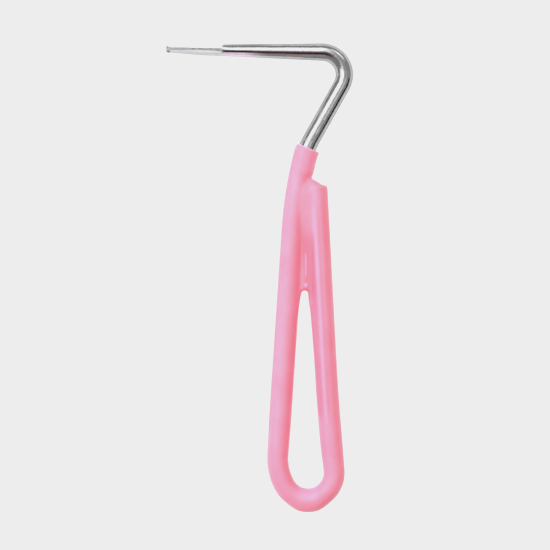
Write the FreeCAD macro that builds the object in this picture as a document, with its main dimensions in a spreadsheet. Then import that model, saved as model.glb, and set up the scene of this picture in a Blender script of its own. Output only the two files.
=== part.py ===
import FreeCAD, Part
import math
import os
import Sketcher

# Hoof pick: one bent steel rod, its two weld beads and a dipped vinyl grip, lying flat on a surface.
# X runs across the tool, Y along it towards the hook, Z up. The origin is under the middle of the
# outline. Lengths are in millimetres, angles in degrees.

sizes = {
    "overall_length": 161.8,   # drip at the foot of the loop to the top of the hook
    "overall_width": 64.4,     # blade tip to the outside of the hook bend
    "rod_diameter": 6.0,
    "hook_radius": 7.8,        # centre-line radius of the hook bend
    "pick_tilt": 1.0,          # the pick rises this much towards its tip
    "shank_lean": 29.3,        # lean of the bare shank from the tool's long axis
    "neck_lean": 13.4,         # lean of the neck inside the collar
    "neck_radius": 24.0,       # bend between shank and neck
    "mouth_lean": 21.2,        # lean of the rod where the collar's mouth crosses it
    "neck_length": 2.3,        # straight part of the neck
    "throat_radius": 131.9,    # slow curve from the neck into the left strand
    "left_lean": 3.78,         # lean of the straight left strand
    "handle_offset": 4.83,     # hook bend centre to loop centre, across the tool
    "heel_radius": 19.2,       # wider start of the loop, below the left strand
    "heel_turn": 33.3,         # angle that this start turns through
    "loop_radius": 9.1,        # centre-line radius of the bottom loop
    "bow_radius": 700.0,       # slight bow of the right strand above the loop
    "bow_turn": 3.05,          # angle that the bow turns through
    "end_drop": 7.6,           # free end below the start of the throat curve
    "end_gap": 0.3,            # gap between the free end and the throat
    "blade_length": 19.0,
    "blade_root": 3.9,         # diameter where the round taper ends
    "blade_width": 7.0,
    "waist_width": 6.4,        # blade width half way along
    "blade_waist": 2.9,        # blade thickness half way along
    "blade_tip": 1.9,          # blade thickness at its edge
    "weld_diameter": 2.8,
    "weld_length": 6.0,
    "weld_height": 1.5,        # bead centre above and below the rod's own plane
    "coat_wall": 0.65,         # vinyl skin on the strands
    "mouth_wall": 1.1,         # vinyl skin at the collar's mouth
    "drip": 0.88,              # extra vinyl under the loop
    "drip_core": 6.0,          # diameter of the bead that carries the drip
    "drip_start": 32.0,        # where that bead's ends lie, as an angle below the loop's middle
    "end_cover": 0.9,          # vinyl over the rod's cut end
    "end_round": 1.3,          # rounded edge of that cover
    "web_length": 36.8,        # free end down to the centre of the opening's rounded top
    "web_thickness": 5.6,
    "web_round": 1.25,         # radius of the opening's rounded top
    "web_taper": 20.0,         # how far below that the vinyl thins out along the strands
}

doc = FreeCAD.newDocument("hoof_pick")
sheet = doc.addObject("Spreadsheet::Sheet", "Sizes")
for rowNumber, (name, value) in enumerate(sizes.items(), start=1):
    sheet.set("A%d" % rowNumber, name)
    sheet.set("B%d" % rowNumber, str(value))
    sheet.setAlias("B%d" % rowNumber, name)
doc.recompute()

coatDiameter = "(Sizes.rod_diameter + 2 * Sizes.coat_wall)"
mouthDiameter = "(Sizes.rod_diameter + 2 * Sizes.mouth_wall)"
hookX = "(Sizes.overall_width / 2 - Sizes.hook_radius - Sizes.rod_diameter / 2)"
hookY = "(Sizes.overall_length / 2 - Sizes.hook_radius - Sizes.rod_diameter / 2)"
loopX = "(%s - Sizes.handle_offset)" % hookX
loopY = "(%s / 2 + Sizes.drip + Sizes.loop_radius - Sizes.overall_length / 2)" % coatDiameter
pickLength = (
    "((Sizes.overall_width - Sizes.rod_diameter / 2"
    " - Sizes.hook_radius * (1 - sin(Sizes.pick_tilt * 1 deg))) / cos(Sizes.pick_tilt * 1 deg))"
)

# The spine's edges, in the order they are drawn.
hookEdge, shankEdge, neckBareEdge, neckCoatedEdge, neckEdge = range(5)
throatEdge, leftEdge, heelEdge, loopEdge, bowEdge, rightEdge = range(5, 11)
startPoint, endPoint, centrePoint = 1, 2, 3


def newBody(name):
    # A body whose rod plane lies at the height of the collar's radius, so the collar rests on z = 0.
    body = doc.addObject("PartDesign::Body", name)
    body.setExpression(".Placement.Base.z", mouthDiameter + " / 2")
    return body


def originPlane(body, role):
    for feature in body.Origin.OriginFeatures:
        if feature.Role == role:
            return feature


def newSketch(body, name, support, mode="FlatFace", parameter=0.0):
    # A sketch across a path is turned to face forwards along it.
    sketch = body.newObject("Sketcher::SketchObject", name)
    sketch.AttachmentSupport = support
    sketch.MapMode = mode
    sketch.MapPathParameter = parameter
    sketch.MapReversed = mode == "NormalToEdge"
    return sketch


def constrain(sketch, *arguments, expression=None):
    index = sketch.addConstraint(Sketcher.Constraint(*arguments))
    if expression:
        sketch.setExpression("Constraints[%d]" % index, expression)
    return index


def leaningPoint(centre, radius, lean):
    # The point of an arc on the left of its centre where the path leans by this angle.
    angle = math.radians(lean)
    return centre + FreeCAD.Vector(-math.cos(angle), math.sin(angle), 0) * radius


def arc(centre, radius, startAngle, endAngle):
    circle = Part.Circle(centre, FreeCAD.Vector(0, 0, 1), radius)
    return Part.ArcOfCircle(circle, math.radians(startAngle), math.radians(endAngle))


def spineGuess():
    # First positions of the centre line's pieces, from the sheet's values; the constraints fix them.
    value = sizes
    rodRadius = value["rod_diameter"] / 2
    coatRadius = rodRadius + value["coat_wall"]
    shankLean = value["shank_lean"]
    neckLean = value["neck_lean"]
    leftLean = value["left_lean"]
    hookCentre = FreeCAD.Vector(
        value["overall_width"] / 2 - value["hook_radius"] - rodRadius,
        value["overall_length"] / 2 - value["hook_radius"] - rodRadius, 0)
    loopCentre = FreeCAD.Vector(
        hookCentre.x - value["handle_offset"],
        value["loop_radius"] + coatRadius + value["drip"] - value["overall_length"] / 2, 0)

    def downward(lean):
        return FreeCAD.Vector(-math.sin(math.radians(lean)), -math.cos(math.radians(lean)), 0)

    origin = FreeCAD.Vector(0, 0, 0)
    shankTop = leaningPoint(hookCentre, -value["hook_radius"], shankLean)
    # The heel's larger arc touches the loop's from inside, at the angle where it ends.
    heelLean = leftLean - value["heel_turn"]
    heelCentre = leaningPoint(loopCentre, value["loop_radius"] - value["heel_radius"], heelLean)
    heelTop = leaningPoint(heelCentre, value["heel_radius"], leftLean)
    neckTurn = (leaningPoint(origin, value["neck_radius"], neckLean)
                - leaningPoint(origin, value["neck_radius"], shankLean))
    throatTurn = (leaningPoint(origin, value["throat_radius"], leftLean)
                  - leaningPoint(origin, value["throat_radius"], neckLean))
    rest = heelTop - shankTop - neckTurn - throatTurn - downward(neckLean) * value["neck_length"]
    shankWay = downward(shankLean)
    leftWay = downward(leftLean)
    crossing = shankWay.x * leftWay.y - shankWay.y * leftWay.x
    shankLength = (rest.x * leftWay.y - rest.y * leftWay.x) / crossing
    shankFoot = shankTop + shankWay * shankLength
    neckCentre = shankFoot + leaningPoint(origin, -value["neck_radius"], shankLean)
    neckTop = leaningPoint(neckCentre, value["neck_radius"], neckLean)
    neckFoot = neckTop + downward(neckLean) * value["neck_length"]
    throatCentre = neckFoot + leaningPoint(origin, -value["throat_radius"], neckLean)
    leftTop = leaningPoint(throatCentre, value["throat_radius"], leftLean)

    # The free end stands beside the throat; the bow's tangent passes through it.
    reach = value["throat_radius"] - value["rod_diameter"] - value["end_gap"]
    endY = neckFoot.y - value["end_drop"]
    freeEnd = FreeCAD.Vector(
        throatCentre.x - math.sqrt(reach ** 2 - (endY - throatCentre.y) ** 2), endY, 0)
    # How much the right strand leans then follows by settling this guess.
    rightLean = value["bow_turn"]
    for attempt in range(30):
        footLean = rightLean + value["bow_turn"]
        footWay = FreeCAD.Vector(math.cos(math.radians(footLean)), math.sin(math.radians(footLean)), 0)
        loopRight = loopCentre + footWay * value["loop_radius"]
        bowCentre = loopRight + footWay * value["bow_radius"]
        toCentre = bowCentre - freeEnd
        tangentLean = math.degrees(
            math.atan2(toCentre.y, toCentre.x) - math.asin(value["bow_radius"] / toCentre.Length)) + 90
        rightLean += (tangentLean - rightLean) * 0.15
    bow = arc(bowCentre, value["bow_radius"], 180 + rightLean, 180 + footLean)
    return [
        arc(hookCentre, value["hook_radius"], -shankLean, 90 - value["pick_tilt"]),
        Part.LineSegment(shankTop, shankFoot),
        arc(neckCentre, value["neck_radius"], 180 - shankLean, 180 - value["mouth_lean"]),
        arc(neckCentre, value["neck_radius"], 180 - value["mouth_lean"], 180 - neckLean),
        Part.LineSegment(neckTop, neckFoot),
        arc(throatCentre, value["throat_radius"], 180 - neckLean, 180 - leftLean),
        Part.LineSegment(leftTop, heelTop),
        arc(heelCentre, value["heel_radius"], 180 - leftLean, 180 - heelLean),
        arc(loopCentre, value["loop_radius"], 180 - heelLean, 360 + footLean),
        bow,
        Part.LineSegment(bow.StartPoint, freeEnd),
    ]


def drawSpine(body, name):
    # The rod's centre line: straight runs joined by tangent arcs, from the hook bend to the free end.
    spine = newSketch(body, name, (originPlane(body, "XY_Plane"), ""))
    spine.addGeometry(spineGuess(), False)
    joins = [
        (hookEdge, startPoint, shankEdge, startPoint),
        (shankEdge, endPoint, neckBareEdge, startPoint),
        (neckCoatedEdge, endPoint, neckEdge, startPoint),
        (neckEdge, endPoint, throatEdge, startPoint),
        (throatEdge, endPoint, leftEdge, startPoint),
        (leftEdge, endPoint, heelEdge, startPoint),
        (heelEdge, endPoint, loopEdge, startPoint),
        (loopEdge, endPoint, bowEdge, endPoint),
        (bowEdge, startPoint, rightEdge, startPoint),
    ]
    for join in joins:
        constrain(spine, "Tangent", *join)
    constrain(spine, "Coincident", neckBareEdge, endPoint, neckCoatedEdge, startPoint)
    constrain(spine, "Coincident", neckBareEdge, centrePoint, neckCoatedEdge, centrePoint)

    radii = [
        (hookEdge, "hook_radius"),
        (neckBareEdge, "neck_radius"),
        (throatEdge, "throat_radius"),
        (heelEdge, "heel_radius"),
        (loopEdge, "loop_radius"),
        (bowEdge, "bow_radius"),
    ]
    for edge, size in radii:
        constrain(spine, "Radius", edge, sizes[size], expression="Sizes." + size)
    # Each leaning line runs downwards, so its angle is measured from the sketch's X axis.
    for edge, size in [(shankEdge, "shank_lean"), (neckEdge, "neck_lean"), (leftEdge, "left_lean")]:
        constrain(spine, "Angle", edge, math.radians(-90 - sizes[size]),
                  expression="(0 - 90 - Sizes.%s) * 1 deg" % size)

    places = [
        ("DistanceX", hookEdge, centrePoint, hookX),
        ("DistanceY", hookEdge, centrePoint, hookY),
        ("DistanceX", loopEdge, centrePoint, loopX),
        ("DistanceY", loopEdge, centrePoint, loopY),
    ]
    for kind, edge, point, formula in places:
        first = spine.getPoint(edge, point)
        guess = first.x if kind == "DistanceX" else first.y
        constrain(spine, kind, -1, 1, edge, point, guess, expression=formula)
    offsets = [
        ("DistanceX", hookEdge, centrePoint, hookEdge, endPoint,
         "Sizes.hook_radius * sin(Sizes.pick_tilt * 1 deg)"),
        ("DistanceY", neckBareEdge, centrePoint, neckBareEdge, endPoint,
         "Sizes.neck_radius * sin(Sizes.mouth_lean * 1 deg)"),
        ("DistanceY", rightEdge, endPoint, neckEdge, endPoint, "Sizes.end_drop"),
    ]
    for kind, edgeA, pointA, edgeB, pointB, formula in offsets:
        gap = spine.getPoint(edgeB, pointB) - spine.getPoint(edgeA, pointA)
        guess = gap.x if kind == "DistanceX" else gap.y
        constrain(spine, kind, edgeA, pointA, edgeB, pointB, guess, expression=formula)
    constrain(spine, "Distance", neckEdge, sizes["neck_length"], expression="Sizes.neck_length")
    for edge, size in [(heelEdge, "heel_turn"), (bowEdge, "bow_turn")]:
        constrain(spine, "Angle", edge, math.radians(sizes[size]), expression="Sizes.%s * 1 deg" % size)
    reach = spine.getPoint(throatEdge, centrePoint) - spine.getPoint(rightEdge, endPoint)
    constrain(spine, "Distance", throatEdge, centrePoint, rightEdge, endPoint, reach.Length,
              expression="Sizes.throat_radius - Sizes.rod_diameter - Sizes.end_gap")
    # Where the free end and the throat's centre came out, for the welds.
    for name, kind, edge, point in [("freeEndX", "DistanceX", rightEdge, endPoint),
                                    ("freeEndY", "DistanceY", rightEdge, endPoint),
                                    ("throatX", "DistanceX", throatEdge, centrePoint),
                                    ("throatY", "DistanceY", throatEdge, centrePoint)]:
        index = constrain(spine, kind, -1, 1, edge, point, 1.0)
        spine.setDriving(index, False)
        spine.renameConstraint(index, name)
    doc.recompute()
    return spine


def edgeName(spine, edge):
    # The name, in the spine's shape, of the edge made from this piece of its geometry.
    piece = spine.Geometry[edge]
    middle = piece.value((piece.FirstParameter + piece.LastParameter) / 2)
    for number, candidate in enumerate(spine.Shape.Edges, start=1):
        if candidate.distToShape(Part.Vertex(middle))[0] < 1e-6:
            return "Edge%d" % number


def circleSketch(body, name, spine, edge, parameter, diameterFormula):
    # A round section square to the spine, centred on it.
    sketch = newSketch(body, name, (spine, edgeName(spine, edge)), "NormalToEdge", parameter)
    sketch.addGeometry(Part.Circle(FreeCAD.Vector(0, 0, 0), FreeCAD.Vector(0, 0, 1), 3.0), False)
    constrain(sketch, "Coincident", 0, centrePoint, -1, 1)
    constrain(sketch, "Diameter", 0, 6.0, expression=diameterFormula)
    return sketch


def pipe(body, name, profile, spine, edges):
    feature = body.newObject("PartDesign::AdditivePipe", name)
    feature.Profile = profile
    feature.Spine = (spine, [edgeName(spine, edge) for edge in edges])
    return feature


def fourSided(body, name, spine, distance, halfWide, halfHigh, radius=None):
    # A blade section square to the pick: four sides between four corners, straight, or round when a
    # radius is given.
    sketch = newSketch(body, name, (spine, edgeName(spine, hookEdge)), "NormalToEdge", 1.0)
    sketch.setExpression(".AttachmentOffset.Base.z", distance)
    corners = [FreeCAD.Vector(x, y, 0) for x, y in ((2, 2), (-2, 2), (-2, -2), (2, -2))]
    for index, corner in enumerate(corners):
        following = corners[(index + 1) % 4]
        if radius:
            start = 45 + 90 * index
            sketch.addGeometry(arc(FreeCAD.Vector(0, 0, 0), corner.Length, start, start + 90), False)
        else:
            sketch.addGeometry(Part.LineSegment(corner, following), False)
    for index in range(4):
        constrain(sketch, "Coincident", index, endPoint, (index + 1) % 4, startPoint)
        signs = [(1, 1), (-1, 1), (-1, -1), (1, -1)][index]
        constrain(sketch, "DistanceX", -1, 1, index, startPoint, 2.0 * signs[0],
                  expression="%d * (%s)" % (signs[0], halfWide))
        constrain(sketch, "DistanceY", -1, 1, index, startPoint, 2.0 * signs[1],
                  expression="%d * (%s)" % (signs[1], halfHigh))
        if radius:
            constrain(sketch, "Radius", index, 2.0 * math.sqrt(2), expression=radius)
    return sketch


def steelRod():
    # One length of round rod: chisel blade, tapered pick, hook bend, shank, loop and free end.
    body = newBody("steel_rod")
    spine = drawSpine(body, "rod_spine")
    profile = circleSketch(body, "rod_section", spine, hookEdge, 1.0, "Sizes.rod_diameter")
    pipe(body, "rod_sweep", profile, spine, range(11))
    doc.recompute()

    taper = body.newObject("PartDesign::AdditiveCone", "pick_taper")
    taper.AttachmentSupport = (spine, edgeName(spine, hookEdge))
    taper.MapMode = "NormalToEdge"
    taper.MapPathParameter = 1.0
    taper.MapReversed = True
    taper.setExpression("Radius1", "Sizes.rod_diameter / 2")
    taper.setExpression("Radius2", "Sizes.blade_root / 2")
    taper.setExpression("Height", "%s - Sizes.blade_length" % pickLength)
    doc.recompute()

    root = fourSided(body, "blade_root", spine, "%s - Sizes.blade_length" % pickLength,
                     "Sizes.blade_root / 2 / sqrt(2)", "Sizes.blade_root / 2 / sqrt(2)",
                     radius="Sizes.blade_root / 2")
    waist = fourSided(body, "blade_waist", spine, "%s - Sizes.blade_length / 2" % pickLength,
                      "Sizes.blade_waist / 2", "Sizes.waist_width / 2")
    tip = fourSided(body, "blade_tip", spine, pickLength,
                    "Sizes.blade_tip / 2", "Sizes.blade_width / 2")
    doc.recompute()
    blade = body.newObject("PartDesign::AdditiveLoft", "blade")
    blade.Profile = root
    blade.Sections = [waist, tip]
    blade.Ruled = True
    doc.recompute()
    return body


def gripOutside():
    # The dipped skin's outer shape, still solid: coated strands, collar, shoulder, web and drip.
    body = newBody("grip_outside")
    spine = drawSpine(body, "grip_spine")
    # The right strand and the loop come first, so that the rim over the cut end is still whole.
    rightProfile = circleSketch(body, "right_section", spine, loopEdge, 0.0, coatDiameter)
    pipe(body, "right_coat", rightProfile, spine, (loopEdge, bowEdge, rightEdge))
    cap = circleSketch(body, "cap_section", spine, rightEdge, 1.0, coatDiameter)
    cover = body.newObject("PartDesign::Pad", "end_cover")
    cover.Profile = cap
    cover.setExpression("Length", "Sizes.end_cover")
    doc.recompute()
    top = max(edge.CenterOfMass.y for edge in cover.Shape.Edges)
    rims = ["Edge%d" % number for number, edge in enumerate(cover.Shape.Edges, start=1)
            if top - edge.CenterOfMass.y < 0.01]
    rim = body.newObject("PartDesign::Fillet", "end_rim")
    rim.Base = (cover, rims)
    rim.setExpression("Radius", "Sizes.end_round")
    doc.recompute()
    leftProfile = circleSketch(body, "left_section", spine, neckCoatedEdge, 0.0, coatDiameter)
    pipe(body, "left_coat", leftProfile, spine, (neckCoatedEdge, neckEdge, throatEdge, leftEdge, heelEdge))
    doc.recompute()

    # The collar flares from the coated neck to its thicker mouth.
    mouth = circleSketch(body, "mouth_section", spine, neckCoatedEdge, 0.0, mouthDiameter)
    middle = circleSketch(body, "collar_section", spine, neckEdge, 0.5,
                          "(%s + %s) / 2" % (mouthDiameter, coatDiameter))
    inside = circleSketch(body, "collar_root", spine, throatEdge, 0.3,
                          "Sizes.rod_diameter + Sizes.coat_wall")
    collar = body.newObject("PartDesign::AdditiveLoft", "collar")
    collar.Profile = mouth
    collar.Sections = [middle, inside]
    doc.recompute()

    drawWeb(body, spine)

    # A bead under the loop carries the drip; its ends lie inside the skin.
    dripArc = newSketch(body, "drip_spine", (originPlane(body, "XY_Plane"), ""))
    loopCentre = spine.getPoint(loopEdge, centrePoint)
    sag = FreeCAD.Vector(0, sizes["drip"], 0)
    start = sizes["drip_start"]
    dripArc.addGeometry(arc(loopCentre - sag, sizes["loop_radius"], 180 + start, 360 - start), False)
    constrain(dripArc, "Radius", 0, sizes["loop_radius"], expression="Sizes.loop_radius")
    constrain(dripArc, "DistanceX", -1, 1, 0, centrePoint, loopCentre.x, expression=loopX)
    constrain(dripArc, "DistanceY", -1, 1, 0, centrePoint, loopCentre.y - sag.y,
              expression="%s - Sizes.drip - (%s - Sizes.drip_core) / 2" % (loopY, coatDiameter))
    for point in (startPoint, endPoint):
        constrain(dripArc, "DistanceY", 0, point, 0, centrePoint, 3.3,
                  expression="Sizes.loop_radius * sin(Sizes.drip_start * 1 deg)")
    doc.recompute()
    dripProfile = newSketch(body, "drip_section", (dripArc, "Edge1"), "NormalToEdge", 0.0)
    dripProfile.addGeometry(Part.Circle(FreeCAD.Vector(0, 0, 0), FreeCAD.Vector(0, 0, 1), 3.0), False)
    constrain(dripProfile, "Coincident", 0, centrePoint, -1, 1)
    constrain(dripProfile, "Diameter", 0, 6.0, expression="Sizes.drip_core")
    drip = body.newObject("PartDesign::AdditivePipe", "drip")
    drip.Profile = dripProfile
    drip.Spine = (dripArc, ["Edge1"])
    doc.recompute()
    return body


def drawWeb(body, spine):
    # Vinyl that bridges the strands from the shoulder down to the opening's rounded top, and thins out
    # along them below it.
    web = newSketch(body, "web_outline", (originPlane(body, "XY_Plane"), ""))
    for edge in (throatEdge, leftEdge, rightEdge):
        web.addExternal(spine.Name, edgeName(spine, edge))
    throatOutside, leftOutside, rightOutside = -3, -4, -5
    throatTop = spine.getPoint(throatEdge, startPoint)
    freeEnd = spine.getPoint(rightEdge, endPoint)
    rightLine = spine.Geometry[rightEdge]
    rightWay = (rightLine.EndPoint - rightLine.StartPoint).normalize()
    coverTop = freeEnd + rightWay * sizes["end_cover"]
    noseY = freeEnd.y - sizes["web_length"]
    footY = noseY - sizes["web_taper"]

    def onLine(line, y):
        share = (y - line.StartPoint.y) / (line.EndPoint.y - line.StartPoint.y)
        return line.StartPoint + (line.EndPoint - line.StartPoint) * share

    leftFoot = onLine(spine.Geometry[leftEdge], footY)
    rightFoot = onLine(rightLine, footY)
    sunk = FreeCAD.Vector(sizes["rod_diameter"] / 2, 0, 0)
    nose = FreeCAD.Vector((leftFoot.x + rightFoot.x) / 2, noseY, 0)
    noseSide = FreeCAD.Vector(sizes["web_round"], 0, 0)
    topLine, rightSide, rightShelf, rightEdgeLine, noseArc, leftEdgeLine, leftShelf, leftSide = range(8)
    outline = [
        Part.LineSegment(throatTop, coverTop),
        Part.LineSegment(coverTop, rightFoot),
        Part.LineSegment(rightFoot, rightFoot - sunk),
        Part.LineSegment(rightFoot - sunk, nose + noseSide),
        arc(nose, sizes["web_round"], 0, 180),
        Part.LineSegment(nose - noseSide, leftFoot + sunk),
        Part.LineSegment(leftFoot + sunk, leftFoot),
        Part.LineSegment(leftFoot, throatTop),
    ]
    web.addGeometry(outline, False)
    for piece in range(8):
        smooth = piece in (rightEdgeLine, noseArc)
        constrain(web, "Tangent" if smooth else "Coincident", piece, endPoint, (piece + 1) % 8, startPoint)

    def nearerEnd(outside, point):
        # The shape's edges run either way.
        ends = [(web.getPoint(outside, end) - point).Length for end in (startPoint, endPoint)]
        return startPoint if ends[0] < ends[1] else endPoint

    rodEnd = nearerEnd(rightOutside, freeEnd)
    constrain(web, "Coincident", topLine, startPoint, throatOutside, nearerEnd(throatOutside, throatTop))
    constrain(web, "PointOnObject", topLine, endPoint, rightOutside)
    constrain(web, "DistanceY", rightOutside, rodEnd, topLine, endPoint, sizes["end_cover"],
              expression="Sizes.end_cover")
    constrain(web, "PointOnObject", rightSide, endPoint, rightOutside)
    constrain(web, "PointOnObject", leftShelf, endPoint, leftOutside)
    for shelf in (rightShelf, leftShelf):
        constrain(web, "Horizontal", shelf)
        constrain(web, "Distance", shelf, sizes["rod_diameter"] / 2, expression="Sizes.rod_diameter / 2")
        constrain(web, "DistanceY", shelf, startPoint, noseArc, centrePoint, sizes["web_taper"],
                  expression="Sizes.web_taper")
    constrain(web, "Equal", rightEdgeLine, leftEdgeLine)
    constrain(web, "Radius", noseArc, sizes["web_round"], expression="Sizes.web_round")
    constrain(web, "DistanceY", noseArc, centrePoint, rightOutside, rodEnd, sizes["web_length"],
              expression="Sizes.web_length")
    pad = body.newObject("PartDesign::Pad", "web")
    pad.Profile = web
    pad.Midplane = True
    pad.setExpression("Length", "Sizes.web_thickness")
    doc.recompute()


def weldBead(name, rod, side):
    # A bead in the groove between the free end and the throat, above (1) or below (-1) the rods.
    bead = doc.addObject("Part::Cylinder", name + "_bead")
    bead.setExpression("Radius", "Sizes.weld_diameter / 2")
    bead.setExpression("Height", "Sizes.weld_length")
    spine = "rod_spine.Constraints"
    turn = "atan2(%s.throatY - %s.freeEndY; %s.throatX - %s.freeEndX)" % (spine, spine, spine, spine)
    halfPitch = "(Sizes.rod_diameter + Sizes.end_gap) * 0.5 mm"
    length = "Sizes.weld_length * 1 mm"
    footX = "%s.freeEndX - %s * cos(%s) + %s * sin(%s)" % (spine, halfPitch, turn, length, turn)
    footY = "%s.freeEndY - %s * sin(%s) - %s * cos(%s)" % (spine, halfPitch, turn, length, turn)
    height = "(%s / 2 + %d * Sizes.weld_height) * 1 mm" % (mouthDiameter, side)
    bead.setExpression(
        "Placement",
        "placement(vector(%s; %s; %s); rotationz(%s) * rotationx(-90))" % (footX, footY, height, turn))
    weld = doc.addObject("Part::Cut", name)
    weld.Base = bead
    weld.Tool = rod
    doc.recompute()
    return weld


def vinylGrip(outside, pieces):
    # The skin closes on the rod and the welds face to face.
    core = doc.addObject("Part::MultiFuse", "grip_core")
    core.Shapes = pieces
    grip = doc.addObject("Part::Cut", "vinyl_grip")
    grip.Base = outside
    grip.Tool = core
    doc.recompute()
    return grip


def writeParts(pieces):
    doc.recompute()
    for item in doc.Objects:
        if "Invalid" in item.State or "Error" in item.State:
            raise RuntimeError("%s did not build: %s" % (item.Label, item.State))
    os.makedirs("parts", exist_ok=True)
    for piece in pieces:
        shape = piece.Shape
        if shape.isNull() or not shape.isValid():
            raise RuntimeError(piece.Label + " has no valid shape")
        shape.exportStep("parts/%s.step" % piece.Label)
        print("%s: %.1f cubic mm, %d solid" % (piece.Label, shape.Volume, len(shape.Solids)))


rod = steelRod()
welds = [weldBead("weld_front", rod, 1), weldBead("weld_back", rod, -1)]
grip = vinylGrip(gripOutside(), [rod] + welds)
writeParts([rod] + welds + [grip])
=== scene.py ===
import math

import bmesh
import bpy
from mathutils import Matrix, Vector


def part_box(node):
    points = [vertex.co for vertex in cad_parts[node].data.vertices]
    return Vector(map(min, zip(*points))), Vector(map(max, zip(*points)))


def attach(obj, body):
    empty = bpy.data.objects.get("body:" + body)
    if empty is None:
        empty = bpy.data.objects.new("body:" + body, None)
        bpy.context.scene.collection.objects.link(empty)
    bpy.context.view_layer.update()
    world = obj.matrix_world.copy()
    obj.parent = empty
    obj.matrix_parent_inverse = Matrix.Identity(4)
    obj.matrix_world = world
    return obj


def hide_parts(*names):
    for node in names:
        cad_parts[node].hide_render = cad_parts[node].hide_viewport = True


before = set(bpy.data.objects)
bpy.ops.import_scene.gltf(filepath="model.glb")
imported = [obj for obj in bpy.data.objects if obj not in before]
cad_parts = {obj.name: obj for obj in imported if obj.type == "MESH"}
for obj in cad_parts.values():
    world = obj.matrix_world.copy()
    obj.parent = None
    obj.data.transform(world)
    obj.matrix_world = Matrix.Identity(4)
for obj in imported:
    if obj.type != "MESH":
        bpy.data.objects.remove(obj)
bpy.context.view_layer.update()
rodLow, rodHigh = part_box("steel_rod")
gripLow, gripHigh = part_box("vinyl_grip")
rodPlane = (gripLow.z + gripHigh.z) / 2      # height of the rod's own plane
near = 0.00002                               # closer than this counts as the same place
ringReach = 1.1                              # a ring's own vertices lie within this many radii
millimetres = 1000                           # in a metre
print("frame loaded, rod plane at %.4f m" % rodPlane)

# The rod's centre line, as the CAD part has it: metres and degrees.
bends = {
    "rodRadius": 0.003,
    "hookRadius": 0.0078,
    "pickTilt": 1.0,
    "shankLean": 29.3,
    "neckRadius": 0.024,
    "mouthLean": 21.2,
    "neckLean": 13.4,
    "neckLength": 0.0023,
    "throatRadius": 0.1319,
    "leftLean": 3.78,
    "handleOffset": 0.00483,
    "heelRadius": 0.0192,
    "heelTurn": 33.3,
    "loopRadius": 0.0091,
    "bowRadius": 0.7,
    "bowTurn": 3.05,
    "endDrop": 0.0076,
    "endGap": 0.0003,
    "coatWall": 0.00065,
    "drip": 0.00088,
}


def way(degrees):
    # Unit vector in the rod's plane, from +X towards +Y.
    return Vector((math.cos(math.radians(degrees)), math.sin(math.radians(degrees)), 0))


def layOutRod():
    # Where each run and bend of the centre line starts and turns, from the hook down and round.
    b = bends
    coat = b["rodRadius"] + b["coatWall"]
    hook = Vector((rodHigh.x - b["hookRadius"] - b["rodRadius"],
                   rodHigh.y - b["hookRadius"] - b["rodRadius"], rodPlane))
    loop = Vector((hook.x - b["handleOffset"], gripLow.y + coat + b["drip"] + b["loopRadius"], rodPlane))
    heelLean = b["leftLean"] - b["heelTurn"]
    heel = loop + way(180 - heelLean) * (b["loopRadius"] - b["heelRadius"])
    heelTop = heel + way(180 - b["leftLean"]) * b["heelRadius"]
    shankTop = hook + way(-b["shankLean"]) * b["hookRadius"]
    shankWay = way(-90 - b["shankLean"])
    leftWay = way(-90 - b["leftLean"])
    neckTurn = (way(180 - b["neckLean"]) - way(180 - b["shankLean"])) * b["neckRadius"]
    throatTurn = (way(180 - b["leftLean"]) - way(180 - b["neckLean"])) * b["throatRadius"]
    rest = heelTop - shankTop - neckTurn - throatTurn - way(-90 - b["neckLean"]) * b["neckLength"]
    shankLength = (rest.x * leftWay.y - rest.y * leftWay.x) / (
        shankWay.x * leftWay.y - shankWay.y * leftWay.x)
    shankFoot = shankTop + shankWay * shankLength
    neck = shankFoot - way(180 - b["shankLean"]) * b["neckRadius"]
    neckFoot = neck + way(180 - b["neckLean"]) * b["neckRadius"] + way(
        -90 - b["neckLean"]) * b["neckLength"]
    throat = neckFoot - way(180 - b["neckLean"]) * b["throatRadius"]
    leftTop = throat + way(180 - b["leftLean"]) * b["throatRadius"]
    endY = neckFoot.y - b["endDrop"]
    reach = b["throatRadius"] - 2 * b["rodRadius"] - b["endGap"]
    freeEnd = Vector((throat.x - math.sqrt(reach ** 2 - (endY - throat.y) ** 2), endY, rodPlane))
    rightLean = b["bowTurn"]
    settleRounds, settleShare = 40, 0.15
    for attempt in range(settleRounds):        # the bow's tangent settles on the free end
        foot = rightLean + b["bowTurn"]
        loopRight = loop + way(foot) * b["loopRadius"]
        bow = loopRight + way(foot) * b["bowRadius"]
        toBow = bow - freeEnd
        aim = math.degrees(math.atan2(toBow.y, toBow.x) - math.asin(b["bowRadius"] / toBow.length)) + 90
        rightLean += (aim - rightLean) * settleShare
    return {
        "hook": hook, "loop": loop, "heel": heel, "heelTop": heelTop, "shankTop": shankTop,
        "shankFoot": shankFoot, "neck": neck, "neckFoot": neckFoot, "throat": throat,
        "leftTop": leftTop, "freeEnd": freeEnd, "bow": bow, "rightLean": rightLean, "footLean": foot,
        "neckTop": neck + way(180 - b["neckLean"]) * b["neckRadius"],
        "pickStart": hook + way(90 - b["pickTilt"]) * b["hookRadius"],
        "bowTop": bow - way(rightLean) * b["bowRadius"],
    }


line = layOutRod()
print("centre line laid out, free end at", [round(v, 5) for v in line["freeEnd"]])


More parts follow.
